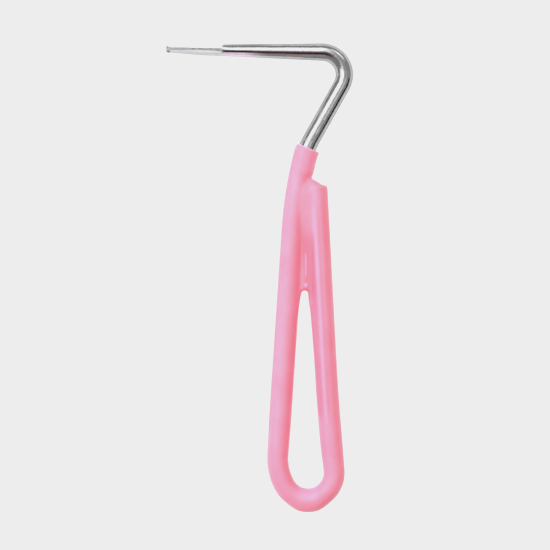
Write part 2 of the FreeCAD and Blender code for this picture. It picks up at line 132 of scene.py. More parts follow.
def startRing(name, place, heading, radius, sides):
    # An open ring of edges across the rod's plane, square to the heading.
    bpy.ops.object.select_all(action="DESELECT")
    bpy.ops.mesh.primitive_circle_add(vertices=sides, radius=radius, fill_type="NOTHING",
                                      location=place, rotation=(math.pi / 2, 0, math.radians(heading + 90)))
    piece = bpy.context.active_object
    piece.name = name
    piece.data.name = name
    bpy.ops.object.transform_apply(location=True, rotation=True, scale=True)
    bpy.ops.object.mode_set(mode="EDIT")
    bpy.ops.mesh.select_mode(type="VERT")
    bpy.ops.mesh.select_all(action="SELECT")
    return piece


def goStraight(step, pieces=1):
    for piece in range(pieces):
        bpy.ops.mesh.extrude_region_move(TRANSFORM_OT_translate={"value": step / pieces})


def goRound(centre, degrees, pieces):
    bpy.ops.mesh.spin(steps=pieces, angle=math.radians(-degrees), center=centre, axis=(0, 0, 1))


def scaleRing(centre, factor):
    bpy.ops.transform.resize(value=(factor, factor, factor), center_override=centre)


def selectWhere(piece, test):
    # Selects the vertices whose place passes the test.
    mesh = bmesh.from_edit_mesh(piece.data)
    for vertex in mesh.verts:
        vertex.select = test(vertex.co)
    mesh.select_flush(True)
    mesh.select_flush(False)
    bmesh.update_edit_mesh(piece.data)


def selectedMiddle(piece):
    mesh = bmesh.from_edit_mesh(piece.data)
    places = [vertex.co for vertex in mesh.verts if vertex.select]
    return sum(places, Vector()) / len(places)


def tidyNormals():
    bpy.ops.mesh.select_all(action="SELECT")
    bpy.ops.mesh.remove_doubles(threshold=0.00001)
    bpy.ops.mesh.normals_make_consistent(inside=False)
    bpy.ops.object.mode_set(mode="OBJECT")


def applyModifiers(piece):
    bpy.context.view_layer.objects.active = piece
    for modifier in list(piece.modifiers):
        bpy.ops.object.modifier_apply(modifier=modifier.name)


rodShape = {
    "sides": 32,
    "steps": {"hook": 24, "shank": 8, "neck": 6, "throat": 6, "left": 8, "heel": 6, "loop": 22,
              "bow": 3, "right": 8, "cone": 14},
    "endStep": 0.0002,           # the free end's broken edge, and how far it closes in
    "endScale": 0.9,
    "taperRoot": 0.00395,        # diameter where the round taper ends
    "bladeLength": 0.019,
    "cornerRound": 0.0014,
    "cornerSteps": 7,
    "joinCuts": 5,               # rings between the cone and the blade
    "joinReach": 0.01,
    "sharpAngle": 40,
    "sections": [                # share of the blade's length, thickness, width
        (0.19, 0.0037, 0.0052),
        (0.36, 0.0035, 0.0062),
        (0.60, 0.0029, 0.0068),
        (0.82, 0.0023, 0.0070),
        (0.985, 0.0019, 0.0070),
        (1.0, 0.00155, 0.0066),
    ],
}


def makeRod():
    b = bends
    steps = rodShape["steps"]
    pickWay = way(180 - b["pickTilt"])
    rod = startRing("bentRod", line["pickStart"], -b["pickTilt"], b["rodRadius"], rodShape["sides"])
    goRound(line["hook"], b["pickTilt"] - 90 - b["shankLean"], steps["hook"])
    goStraight(line["shankFoot"] - line["shankTop"], steps["shank"])
    goRound(line["neck"], b["shankLean"] - b["neckLean"], steps["neck"])
    goStraight(line["neckFoot"] - line["neckTop"])
    goRound(line["throat"], b["neckLean"] - b["leftLean"], steps["throat"])
    goStraight(line["heelTop"] - line["leftTop"], steps["left"])
    goRound(line["heel"], b["heelTurn"], steps["heel"])
    goRound(line["loop"], 180 + line["footLean"] + b["leftLean"] - b["heelTurn"], steps["loop"])
    goRound(line["bow"], -b["bowTurn"], steps["bow"])
    goStraight(line["freeEnd"] - line["bowTop"], steps["right"])
    goStraight(way(90 + line["rightLean"]) * -rodShape["endStep"])
    scaleRing(line["freeEnd"], rodShape["endScale"])
    bpy.ops.mesh.edge_face_add()

    # The pick runs the other way from the hook bend, thinning as a long cone.
    start = line["pickStart"]
    selectWhere(rod, lambda place: abs((place - start).dot(pickWay)) < near
                and (place - start).length < b["rodRadius"] * ringReach)
    pickLength = (start.x - rodLow.x) / math.cos(math.radians(b["pickTilt"]))
    coneLength = pickLength - rodShape["bladeLength"]
    rootScale = rodShape["taperRoot"] / 2 / b["rodRadius"]
    scaleNow = 1.0
    for number in range(1, steps["cone"] + 1):
        goStraight(pickWay * (coneLength / steps["cone"]))
        wanted = 1 + (rootScale - 1) * number / steps["cone"]
        scaleRing(selectedMiddle(rod), wanted / scaleNow)
        scaleNow = wanted
    bpy.ops.object.mode_set(mode="OBJECT")

    # The flat blade is its own block: a plate drawn out towards the edge, then joined to the cone.
    first = rodShape["sections"][0]
    bladeFoot = start + pickWay * (coneLength + rodShape["bladeLength"] * first[0])
    bpy.ops.object.select_all(action="DESELECT")
    bpy.ops.mesh.primitive_plane_add(size=1, location=bladeFoot,
                                     rotation=(math.pi / 2, 0, math.radians(90 - b["pickTilt"])))
    blade = bpy.context.active_object
    blade.scale = (first[1], first[2], 1)
    bpy.ops.object.transform_apply(location=True, rotation=True, scale=True)
    bpy.ops.object.mode_set(mode="EDIT")
    bpy.ops.mesh.select_mode(type="VERT")
    bpy.ops.mesh.select_all(action="SELECT")
    bpy.ops.mesh.bevel(offset=rodShape["cornerRound"], segments=rodShape["cornerSteps"],
                       affect="VERTICES", profile=0.5)
    bpy.ops.mesh.select_all(action="SELECT")
    bpy.ops.mesh.delete(type="ONLY_FACE")
    bpy.ops.mesh.select_all(action="SELECT")
    last = first
    for section in rodShape["sections"][1:]:
        goStraight(pickWay * (section[0] - last[0]) * rodShape["bladeLength"])
        bpy.ops.transform.resize(value=(1, section[1] / last[1], section[2] / last[2]),
                                 center_override=selectedMiddle(blade))
        last = section
    bpy.ops.mesh.edge_face_add()
    bpy.ops.object.mode_set(mode="OBJECT")

    rod.select_set(True)
    blade.select_set(True)
    bpy.context.view_layer.objects.active = rod
    bpy.ops.object.join()
    bpy.ops.object.mode_set(mode="EDIT")
    coneEnd = start + pickWay * coneLength
    selectWhere(rod, lambda place: min(abs((place - coneEnd).dot(pickWay)),
                                       abs((place - bladeFoot).dot(pickWay))) < near
                and (place - coneEnd).length < rodShape["joinReach"])
    bpy.ops.mesh.bridge_edge_loops(type="SINGLE", number_cuts=rodShape["joinCuts"],
                                   interpolation="PATH", smoothness=1.0)
    tidyNormals()
    bpy.ops.object.shade_smooth_by_angle(angle=math.radians(rodShape["sharpAngle"]))
    return rod


rodPiece = makeRod()
print("rod bent:", len(rodPiece.data.polygons), "faces")


gripShape = {
    "sides": 32,
    "steps": {"lip": 4, "collar": 2, "throat": 6, "left": 10, "heel": 8, "loop": 28, "bowFoot": 1,
              "bow": 3, "right": 10},
    "mouthRise": 1.5,            # degrees the lip climbs past the collar's end
    "mouthRadius": 0.00422,
    "collarRadius": 0.00418,
    "collarShift": 0.00026,      # the collar is thicker on the side of the free end
    "skin": 0.00024,             # extra on the radius, which smoothing takes back
    "loopSkin": 0.00004,         # the coat ran thinner round the loop
    "throatShares": (0.2, 0.8),  # the collar's part of the throat, then the strand's
    "leftShares": (0.84, 0.08, 0.08),
    "bowShares": (0.25, 0.75),   # the loop's thin coat ends after the first
    "endRings": [(0.0002, 0.86), (0.0003, 0.80)],     # step past the free end, scale
    "dripShift": 0.0003,
    "dripReach": 0.0030,
    "dripRise": 0.0012,
    "dripSpread": 0.0065,
    # The web between the strands, row by row from the shoulder down: height, reach from the left
    # strand's line, reach from the right strand's line, half thickness beside each.
    "webRows": [
        (0.0318, 0.0024, 0.0022, 0.0036, 0.0034),
        (0.0290, 0.0025, 0.0024, 0.0037, 0.0036),
        (0.0250, 0.0025, 0.0026, 0.0036, 0.0036),
        (0.0205, 0.0026, 0.0028, 0.0032, 0.0034),
        (0.0150, 0.0028, 0.0030, 0.0024, 0.0029),
        (0.0100, 0.0030, 0.0032, 0.0020, 0.0025),
        (0.0050, 0.0033, 0.0034, 0.0018, 0.0022),
        (0.0000, 0.0037, 0.0038, 0.0017, 0.0019),
        (-0.0044, 0.0045, 0.0047, 0.0016, 0.0018),
        (-0.0078, 0.0041, 0.0047, 0.0015, 0.0017),
        (-0.0113, 0.0039, 0.0043, 0.0014, 0.0017),
        (-0.0168, 0.0037, 0.0041, 0.0013, 0.0017),
        (-0.0251, 0.0035, 0.0039, 0.0012, 0.0016),
        (-0.0340, 0.0030, 0.0037, 0.0010, 0.0014),
        (-0.0420, 0.0026, 0.0030, 0.0008, 0.0010),
    ],
    "archRow": 8,                # the opening starts below this row
    "shoulder": [(0.0140, 0.0360), (0.0176, 0.0343), (0.0205, 0.0327), (0.0221, 0.0312)],
    "shoulderHalf": 0.0026,
    "webStart": 0.002,           # thickness of the web before its corners are set
    "holeReach": 0.0008,
    "voxel": 0.00034,
    "smoothShare": 0.5,
    "smoothPasses": 22,
    "waveSize": 0.009,
    "waviness": 0.00006,
}


def makeGripTube():
    b = bends
    g = gripShape
    steps = g["steps"]
    coat = b["rodRadius"] + b["coatWall"] + g["skin"]
    lipLean = b["mouthLean"] + g["mouthRise"]
    lip = line["neck"] + way(180 - lipLean) * (b["neckRadius"] - g["collarShift"])
    tube = startRing("dippedGrip", lip, -90 - lipLean, g["mouthRadius"], g["sides"])
    goRound(line["neck"], lipLean - b["neckLean"], steps["lip"])
    scaleRing(selectedMiddle(tube), g["collarRadius"] / g["mouthRadius"])
    goStraight(line["neckFoot"] - line["neckTop"])
    throatTurn = b["neckLean"] - b["leftLean"]
    goRound(line["throat"], throatTurn * g["throatShares"][0], steps["collar"])
    scaleRing(selectedMiddle(tube), coat / g["collarRadius"])
    bpy.ops.transform.translate(value=way(-b["neckLean"]) * -g["collarShift"])
    goRound(line["throat"], throatTurn * g["throatShares"][1], steps["throat"])
    leftRun = line["heelTop"] - line["leftTop"]
    slim = (coat + g["loopSkin"] - g["skin"]) / coat
    goStraight(leftRun * g["leftShares"][0], steps["left"])
    for share in g["leftShares"][1:]:
        goStraight(leftRun * share)
        scaleRing(selectedMiddle(tube), math.sqrt(slim))
    goRound(line["heel"], b["heelTurn"], steps["heel"])
    goRound(line["loop"], 180 + line["footLean"] + b["leftLean"] - b["heelTurn"], steps["loop"])
    goRound(line["bow"], -b["bowTurn"] * g["bowShares"][0], steps["bowFoot"])
    scaleRing(selectedMiddle(tube), 1 / slim)
    goRound(line["bow"], -b["bowTurn"] * g["bowShares"][1], steps["bow"])
    goStraight(line["freeEnd"] - line["bowTop"], steps["right"])
    for step, scale in g["endRings"]:
        goStraight(way(90 + line["rightLean"]) * step)
        scaleRing(selectedMiddle(tube), scale)
    bpy.ops.mesh.edge_face_add()
    selectWhere(tube, lambda place: abs((place - lip).dot(way(-90 - lipLean))) < near
                and (place - lip).length < g["mouthRadius"] * ringReach)
    bpy.ops.mesh.edge_face_add()

    # The drip hangs under the loop's foot.
    foot = line["loop"] + Vector((g["dripShift"], -b["loopRadius"] - coat, 0))
    selectWhere(tube, lambda place: (place - foot).length < g["dripReach"]
                and place.y < foot.y + g["dripRise"])
    bpy.ops.transform.translate(value=(0, -b["drip"], 0), use_proportional_edit=True,
                                proportional_edit_falloff="SMOOTH", proportional_size=g["dripSpread"])
    tidyNormals()
    return tube


def leftLineAt(height):
    # The left strand's centre line at this height.
    if height < line["leftTop"].y:
        return line["leftTop"].x + (height - line["leftTop"].y) * math.tan(math.radians(bends["leftLean"]))
    rise = height - line["throat"].y
    return line["throat"].x - math.sqrt(bends["throatRadius"] ** 2 - rise ** 2)


def rightLineAt(height):
    end = line["freeEnd"]
    if height > line["bowTop"].y:
        return end.x + (end.y - height) * math.tan(math.radians(line["rightLean"]))
    rise = height - line["bow"].y
    return line["bow"].x - math.sqrt(bends["bowRadius"] ** 2 - rise ** 2)


def makeWeb():
    # A strip of four columns, laid from strand to strand and drawn down row by row.
    g = gripShape
    rows = [[Vector((x, y, rodPlane)) for x, y in g["shoulder"]]]
    halves = [[g["shoulderHalf"]] * 4]
    for height, leftReach, rightReach, leftHalf, rightHalf in g["webRows"]:
        left, right = leftLineAt(height), rightLineAt(height)
        rows.append([Vector((x, height, rodPlane)) for x in
                     (left, left + leftReach, right - rightReach, right)])
        halves.append([leftHalf, leftHalf, rightHalf, rightHalf])
    bpy.ops.object.select_all(action="DESELECT")
    bpy.ops.mesh.primitive_grid_add(x_subdivisions=3, y_subdivisions=len(rows) - 1, size=1,
                                    location=(0, 0, rodPlane))
    web = bpy.context.active_object
    bpy.ops.object.transform_apply(location=True, rotation=True, scale=True)
    bpy.ops.object.mode_set(mode="EDIT")
    bpy.ops.mesh.select_mode(type="VERT")
    bpy.ops.mesh.select_all(action="SELECT")
    # Drawn out far larger than the tool, so that no two corners are ever mistaken for each other.
    bpy.ops.transform.resize(value=(1, 40, 1), center_override=(0, 0, rodPlane))
    mesh = bmesh.from_edit_mesh(web.data)
    places = sorted(((round(v.co.y, 4), round(v.co.x, 4)) for v in mesh.verts), key=lambda p: (-p[0], p[1]))
    lift = Vector((0, 0, 1))
    gridReach = 0.01
    for number, (y, x) in enumerate(places):
        wanted = rows[number // 4][number % 4]
        selectWhere(web, lambda place: abs(place.x - x) < gridReach and abs(place.y - y) < gridReach
                    and place.z < rodPlane + lift.z / 2)
        # Each corner goes up out of the way first, then the whole strip comes down again.
        bpy.ops.transform.translate(value=wanted - Vector((x, y, rodPlane)) + lift)
    bpy.ops.mesh.select_all(action="SELECT")
    bpy.ops.transform.translate(value=-lift)
    # The opening: the middle column goes, below the arch.
    archHeight = g["webRows"][g["archRow"]][0]
    bpy.ops.mesh.select_mode(type="FACE")
    bpy.ops.mesh.select_all(action="DESELECT")
    mesh = bmesh.from_edit_mesh(web.data)
    for face in mesh.faces:
        middle = face.calc_center_median()
        centreLine = (leftLineAt(middle.y) + rightLineAt(middle.y)) / 2
        face.select = middle.y < archHeight and abs(middle.x - centreLine) < g["holeReach"]
    bmesh.update_edit_mesh(web.data)
    bpy.ops.mesh.delete(type="FACE")
    bpy.ops.mesh.select_mode(type="VERT")
    bpy.ops.object.mode_set(mode="OBJECT")
    solidify = web.modifiers.new("thickness", "SOLIDIFY")
    solidify.thickness = g["webStart"]
    solidify.offset = 0
    applyModifiers(web)
    # Each corner's front and back move to that corner's own half thickness.
    bpy.ops.object.mode_set(mode="EDIT")
    cornerReach = 0.0002
    for row, rowHalves in zip(rows, halves):
        for corner, half in zip(row, rowHalves):
            selectWhere(web, lambda place: abs(place.x - corner.x) < cornerReach
                        and abs(place.y - corner.y) < cornerReach)
            bpy.ops.transform.resize(value=(1, 1, half / (g["webStart"] / 2)), center_override=corner)
    tidyNormals()
    return web


def mergeGrip(tube, web):
    # Tube and web become one skin, and the smoothing leaves a meniscus in every corner.
    bpy.ops.object.select_all(action="DESELECT")
    tube.select_set(True)
    web.select_set(True)
    bpy.context.view_layer.objects.active = tube
    bpy.ops.object.join()
    remesh = tube.modifiers.new("oneSkin", "REMESH")
    remesh.mode = "VOXEL"
    remesh.voxel_size = gripShape["voxel"]
    smooth = tube.modifiers.new("meniscus", "SMOOTH")
    smooth.factor = gripShape["smoothShare"]
    smooth.iterations = gripShape["smoothPasses"]
    clouds = bpy.data.textures.new("dipWaves", "CLOUDS")
    clouds.noise_scale = gripShape["waveSize"]
    clouds.noise_depth = 1
    waves = tube.modifiers.new("waves", "DISPLACE")
    waves.texture = clouds
    waves.texture_coords = "LOCAL"
    waves.strength = gripShape["waviness"]
    waves.mid_level = 0.5
    applyModifiers(tube)
    bpy.ops.object.shade_smooth()
    return tube


gripPiece = mergeGrip(makeGripTube(), makeWeb())
print("grip dipped:", len(gripPiece.data.polygons), "faces")


def newMaterial(name):
    material = bpy.data.materials.new(name)
    material.use_nodes = True
    nodes = material.node_tree.nodes
    return material, nodes, material.node_tree.links, nodes["Principled BSDF"]


def noiseNode(nodes, links, vector, scale, detail=2.0, roughness=0.5):
    noise = nodes.new("ShaderNodeTexNoise")
    noise.inputs["Scale"].default_value = scale
    noise.inputs["Detail"].default_value = detail
    noise.inputs["Roughness"].default_value = roughness
    links.new(vector, noise.inputs["Vector"])
    return noise.outputs["Fac"]


def rangeNode(nodes, links, value, fromLow, fromHigh, toLow, toHigh):
    node = nodes.new("ShaderNodeMapRange")
    node.interpolation_type = "SMOOTHSTEP"
    for name, number in zip(("From Min", "From Max", "To Min", "To Max"),
                            (fromLow, fromHigh, toLow, toHigh)):
        node.inputs[name].default_value = number
    links.new(value, node.inputs["Value"])
    return node.outputs["Result"]


def mixNode(nodes, links, factor, first, second):
    node = nodes.new("ShaderNodeMix")
    node.data_type = "RGBA"
    links.new(factor, node.inputs["Factor"])
    for socket, colour in ((node.inputs[6], first), (node.inputs[7], second)):
        if isinstance(colour, tuple):
            socket.default_value = (*colour, 1)
        else:
            links.new(colour, socket)
    return node.outputs[2]


def bumpNode(nodes, links, height, strength, distance, normal=None):
    node = nodes.new("ShaderNodeBump")
    node.inputs["Strength"].default_value = strength
    node.inputs["Distance"].default_value = distance
    links.new(height, node.inputs["Height"])
    if normal:
        links.new(normal, node.inputs["Normal"])
    return node.outputs["Normal"]


def scaledVector(nodes, links, vector, scale):
    node = nodes.new("ShaderNodeMapping")
    node.inputs["Scale"].default_value = scale
    links.new(vector, node.inputs["Vector"])
    return node.outputs["Vector"]


def mathNode(nodes, links, operation, *values, clamp=False):
    node = nodes.new("ShaderNodeMath")
    node.operation = operation
    node.use_clamp = clamp
    for socket, value in zip(node.inputs, values):
        if isinstance(value, (int, float)):
            socket.default_value = value
        else:
            links.new(value, socket)
    return node.outputs[0]


def vectorNode(nodes, links, operation, vector, other=None):
    node = nodes.new("ShaderNodeVectorMath")
    node.operation = operation
    links.new(vector, node.inputs[0])
    if other is not None:
        node.inputs[1].default_value = other
    return node


def splitVector(nodes, links, vector):
    node = nodes.new("ShaderNodeSeparateXYZ")
    links.new(vector, node.inputs[0])
    return node.outputs


def storedVector(nodes, name):
    # The vector kept at each vertex under this name.
    node = nodes.new("ShaderNodeAttribute")
    node.attribute_name = name
    return node.outputs["Vector"]


def setSockets(shader, values):
    for name, value in values.items():
        shader.inputs[name].default_value = value


def bandNode(nodes, links, value, low, high, soft):
    # One between low and high, fading out over the soft margin on both sides.
    away = mathNode(nodes, links, "ABSOLUTE", mathNode(nodes, links, "SUBTRACT", value, (low + high) / 2))
    return mathNode(nodes, links, "MULTIPLY_ADD", away, -1 / soft, (high - low) / 2 / soft + 1, clamp=True)


vinylFinish = {
    # The next three pinks are painted light: painted shade, painted highlight streaks and a painted
    # highlight along the lip.
    "paintedShadePink": (0.93, 0.150, 0.205),
    "paintedHighlightPink": (0.95, 0.330, 0.490),
    "paintedLipHighlightPink": (0.93, 0.480, 0.660),
    "deepPink": (0.93, 0.235, 0.315),
    "palePink": (0.95, 0.265, 0.355),
    "lipHighlightStrength": 0.75,
    "lipHighlightBand": (-2.0, 0.25, 0.35),       # painted highlight along the lip: low, high, softness, in millimetres below the lip
    "roughness": (0.30, 0.42),
    "cloudSize": (120.0, 3.0),           # noise scale and detail
    "fineSize": (2600.0, 2.0),
    "slowSize": (420.0, 2.0),
    "slowStretch": (1.0, 0.35, 1.0),
    "slowBump": (0.5, 0.00012),          # strength and depth
    "fineBump": (0.18, 0.00002),
    "sockets": {
        "IOR": 1.5,
        "Subsurface Weight": 0.12,
        "Subsurface Radius": (1.0, 0.3, 0.35),
        "Subsurface Scale": 0.0012,
        "Coat Weight": 0.25,
        "Coat Roughness": 0.22,
    },
    # Painted shade (x) and painted highlights (y), in millimetres: strand measured from, across
    # low, high and softness, along low, high and softness, strength, which of the two.
    "paintedLightBands": [
        ("right", -5.4, -2.4, 1.0, -4.0, 11.0, 9.0, 0.85, 0),
        ("right", -3.9, -2.2, 1.0, -46.0, -5.0, 3.0, 0.45, 0),
        ("right", -0.3, 0.35, 0.5, -44.0, 19.0, 8.0, 0.30, 0),
        ("left", -4.6, -3.3, 0.5, -50.0, 42.0, 4.0, 0.30, 0),
        ("right", -1.25, -0.85, 0.4, -46.0, 18.0, 6.0, 0.42, 1),
        ("right", -1.7, -1.2, 0.7, 17.0, 23.0, 4.0, 0.35, 1),
        ("right", 0.75, 0.95, 0.3, -12.0, 16.0, 8.0, 0.35, 1),
        ("left", 1.6, 4.6, 1.2, 37.0, 47.0, 2.5, 0.45, 1),
        # These rows paint the highlight line in the valley and the bright spot over the arch.
        ("middle", 15.70, 15.85, 0.3, 1.5, 7.0, 2.5, 1.0, 1),
        ("middle", 15.50, 16.10, 0.4, -2.8, -2.1, 0.6, 0.95, 1),
        ("middle", 14.5, 18.5, 2.5, -76.0, -72.0, 1.6, 0.42, 1),
    ],
}


def makeVinyl():
    v = vinylFinish
    material, nodes, links, shader = newMaterial("dippedVinyl")
    place = nodes.new("ShaderNodeTexCoord").outputs["Object"]
    cloudy = noiseNode(nodes, links, place, *v["cloudSize"])
    fine = noiseNode(nodes, links, place, *v["fineSize"])
    slow = noiseNode(nodes, links, scaledVector(nodes, links, place, v["slowStretch"]), *v["slowSize"])
    blend = rangeNode(nodes, links, cloudy, 0.3, 0.7, 0.0, 1.0)
    colour = mixNode(nodes, links, blend, v["deepPink"], v["palePink"])
    # The stored amounts paint shade, highlight streaks and a lip highlight into the base colour.
    paintedShade, paintedHighlight, lipHighlight = splitVector(nodes, links, storedVector(nodes, "paintedShadeAndHighlights"))
    for amount, pink in ((paintedShade, "paintedShadePink"), (paintedHighlight, "paintedHighlightPink"), (lipHighlight, "paintedLipHighlightPink")):
        colour = mixNode(nodes, links, amount, colour, v[pink])
    links.new(colour, shader.inputs["Base Color"])
    links.new(rangeNode(nodes, links, slow, 0.3, 0.7, *v["roughness"]), shader.inputs["Roughness"])
    wavy = bumpNode(nodes, links, slow, *v["slowBump"])
    links.new(bumpNode(nodes, links, fine, *v["fineBump"], wavy), shader.inputs["Normal"])
    setSockets(shader, v["sockets"])
    return material


metalFinish = {
    "plate": (0.52, 0.52, 0.515),
    "plateDull": (0.46, 0.455, 0.45),
    "bladeLight": (0.77, 0.785, 0.76),
    "bladeDark": (0.19, 0.185, 0.18),
    "wornEdge": (1.2, -0.6),     # where the blade's worn finish starts and is full, from its root
    "bladeShadeLine": (-0.25, 0.40, 0.30),        # the painted shade line along the blade: low, high, softness
    "scuffs": (0.58, 0.68, 0.0, 0.6),
    "drawn": ((3.2, 3.2, 0.12), 1.0, 3.0),       # stretch, noise scale, detail
    "grain": (4.2, 2.0),
    "mottle": ((1.0, 1.0, 0.7), 1.7, 2.0, 0.6),
    "cloudy": (0.5, 2.0),
    "speck": (2.6, 3.0, 0.65),
    "polish": (0.3, 0.8, 0.05, 0.14),
    "dull": (0.3, 0.7, 0.28, 0.5),
    "drawnBump": (0.35, 0.00003),
    "grainBump": (0.30, 0.00003),
    "mottleBump": (0.5, 0.00006),
    "pinkReflectionMetalShare": 0.75,
    "wornAndReflectionLoss": -0.7,            # how far the worn blade and the painted pink reflection fall short of full metal
    "specularTint": (0.62, 0.62, 0.62, 1),
    # Painted reflections on the pick, dark bands and a black line, in millimetres: across low, high and
    # softness, along low, high and softness, strength, colour.
    "paintedReflections": [
        (-1.10, -0.25, 0.30, -23.0, 1.0, 5.0, 0.75, (0.27, 0.165, 0.17)),
        (1.60, 3.00, 0.25, -36.0, -24.0, 8.0, 0.80, (0.25, 0.25, 0.26)),
        (-0.60, -0.15, 0.20, -34.0, -26.0, 5.0, 0.80, (0.09, 0.05, 0.055)),
    ],
    # A painted pink reflection on the pick's lower side, across and along as above; it is also less
    # metallic.
    "pinkReflectionArea": (-2.60, -1.05, 0.35, -36.0, -27.0, 8.0),
    "pinkReflectionColour": (0.88, 0.72, 0.84),
    "tipChips": [(0.55, 0.85, 0.25, -54.5, -53.2, 0.4), (-1.0, -0.75, 0.25, -53.4, -52.7, 0.4)],
    "chip": (0.07, 0.07, 0.07),
}


def areaNode(nodes, links, across, along, edges):
    wide = bandNode(nodes, links, across, *edges[:3])
    return mathNode(nodes, links, "MULTIPLY", wide, bandNode(nodes, links, along, *edges[3:]))


def makeSteel():
    # The pattern follows the rod: x across, y through, z along, in millimetres.
    m = metalFinish
    material, nodes, links, shader = newMaterial("platedRod")
    place = storedVector(nodes, "unbent")
    stretch, *size = m["drawn"]
    drawn = noiseNode(nodes, links, scaledVector(nodes, links, place, stretch), *size)
    grain = noiseNode(nodes, links, place, *m["grain"])
    stretch, *size = m["mottle"]
    mottle = noiseNode(nodes, links, scaledVector(nodes, links, place, stretch), *size)
    cloudy = noiseNode(nodes, links, place, *m["cloudy"])
    speck = noiseNode(nodes, links, place, *m["speck"])
    parts = splitVector(nodes, links, place)
    across, along = parts["X"], parts["Z"]
    bladeFrom = -((line["pickStart"].x - rodLow.x) - rodShape["bladeLength"]) * millimetres
    worn = rangeNode(nodes, links, along, bladeFrom + m["wornEdge"][0], bladeFrom + m["wornEdge"][1],
                     0.0, 1.0)
    plate = mixNode(nodes, links, rangeNode(nodes, links, cloudy, 0.35, 0.65, 0.0, 1.0),
                    m["plate"], m["plateDull"])
    # The dark line along the blade is painted shade, broken up by specks.
    bladeShadeLine = bandNode(nodes, links, across, *m["bladeShadeLine"])
    marked = mathNode(nodes, links, "MULTIPLY", bladeShadeLine, rangeNode(nodes, links, speck, 0.35, 0.60, 0.55, 1.0))
    blade = mixNode(nodes, links, marked, m["bladeLight"], m["bladeDark"])
    scuffs = rangeNode(nodes, links, speck, *m["scuffs"])
    blade = mixNode(nodes, links, scuffs, blade, m["bladeDark"])
    # Painted reflections laid into the plating's colour.
    for *edges, strength, reflectionColour in m["paintedReflections"]:
        both = areaNode(nodes, links, across, along, edges)
        plate = mixNode(nodes, links, mathNode(nodes, links, "MULTIPLY", both, strength), plate, reflectionColour)
    for edges in m["tipChips"]:
        blade = mixNode(nodes, links, areaNode(nodes, links, across, along, edges), blade, m["chip"])
    # A painted pink reflection, also made less metallic.
    pinkReflection = areaNode(nodes, links, across, along, m["pinkReflectionArea"])
    plate = mixNode(nodes, links, pinkReflection, plate, m["pinkReflectionColour"])
    links.new(mixNode(nodes, links, worn, plate, blade), shader.inputs["Base Color"])
    share = mathNode(nodes, links, "MULTIPLY", pinkReflection, m["pinkReflectionMetalShare"])
    wornAndReflection = mathNode(nodes, links, "MAXIMUM", worn, share)
    links.new(mathNode(nodes, links, "MULTIPLY_ADD", wornAndReflection, m["wornAndReflectionLoss"], 1.0), shader.inputs["Metallic"])
    shader.inputs["Specular Tint"].default_value = m["specularTint"]
    roughMix = nodes.new("ShaderNodeMix")
    links.new(worn, roughMix.inputs["Factor"])
    links.new(rangeNode(nodes, links, grain, *m["polish"]), roughMix.inputs[2])
    links.new(rangeNode(nodes, links, grain, *m["dull"]), roughMix.inputs[3])
    links.new(roughMix.outputs[0], shader.inputs["Roughness"])
    lines = bumpNode(nodes, links, drawn, *m["drawnBump"])
    pits = bumpNode(nodes, links, grain, *m["grainBump"], lines)
    links.new(bumpNode(nodes, links, mottle, *m["mottleBump"], pits), shader.inputs["Normal"])
    return material


def fade(value, low, high, soft):
    # One between low and high, falling smoothly to nought over the soft margin.
    beyond = max(low - value, value - high, 0) / soft
    return max(1 - beyond, 0) ** 2 * (1 + 2 * min(beyond, 1))


def paintGripLight(piece):
    # Stores at each vertex how much painted shade, how much painted highlight, and how much painted
    # highlight by how near the lip the vinyl is there.
    lipLean = bends["mouthLean"] + gripShape["mouthRise"]
    lip = line["neck"] + way(180 - lipLean) * bends["neckRadius"]
    paintedShadeAndHighlights = piece.data.attributes.new("paintedShadeAndHighlights", "FLOAT_VECTOR", "POINT")
    for vertex in piece.data.vertices:
        x, y = vertex.co.x, vertex.co.y
        across = {"left": (x - leftLineAt(y)) * millimetres,
                  "right": (x - rightLineAt(y)) * millimetres,
                  "middle": x * millimetres}
        amounts = [0.0, 0.0]
        for side, *edges, strength, kind in vinylFinish["paintedLightBands"]:
            here = strength * fade(across[side], *edges[:3]) * fade(y * millimetres, *edges[3:])
            amounts[kind] = max(amounts[kind], here)
        fromLip = (vertex.co - lip).dot(way(-90 - lipLean)) * millimetres
        lipHighlight = vinylFinish["lipHighlightStrength"] * fade(fromLip, *vinylFinish["lipHighlightBand"])
        paintedShadeAndHighlights.data[vertex.index].vector = (*amounts, lipHighlight)


weldFinish = {
    "scaleSize": (1400.0, 4.0, 0.6),
    "ripples": {"Scale": 380.0, "Distortion": 1.5},
    "rippleBump": (0.6, 0.0001),
    "dark": (0.22, 0.20, 0.19),
    "light": (0.34, 0.30, 0.27),
    "metallic": 0.9,
    "roughness": (0.35, 0.6),
}


def makeWeldSteel():
    w = weldFinish
    material, nodes, links, shader = newMaterial("weldMetal")
    place = nodes.new("ShaderNodeTexCoord").outputs["Object"]
    scale = noiseNode(nodes, links, place, *w["scaleSize"])
    wave = nodes.new("ShaderNodeTexWave")
    wave.bands_direction = "Y"
    setSockets(wave, w["ripples"])
    links.new(place, wave.inputs["Vector"])
    colour = mixNode(nodes, links, rangeNode(nodes, links, scale, 0.35, 0.65, 0.0, 1.0),
                     w["dark"], w["light"])
    links.new(colour, shader.inputs["Base Color"])
    shader.inputs["Metallic"].default_value = w["metallic"]
    links.new(rangeNode(nodes, links, scale, 0.3, 0.7, *w["roughness"]), shader.inputs["Roughness"])
    links.new(bumpNode(nodes, links, wave.outputs["Fac"], *w["rippleBump"]), shader.inputs["Normal"])
    return material


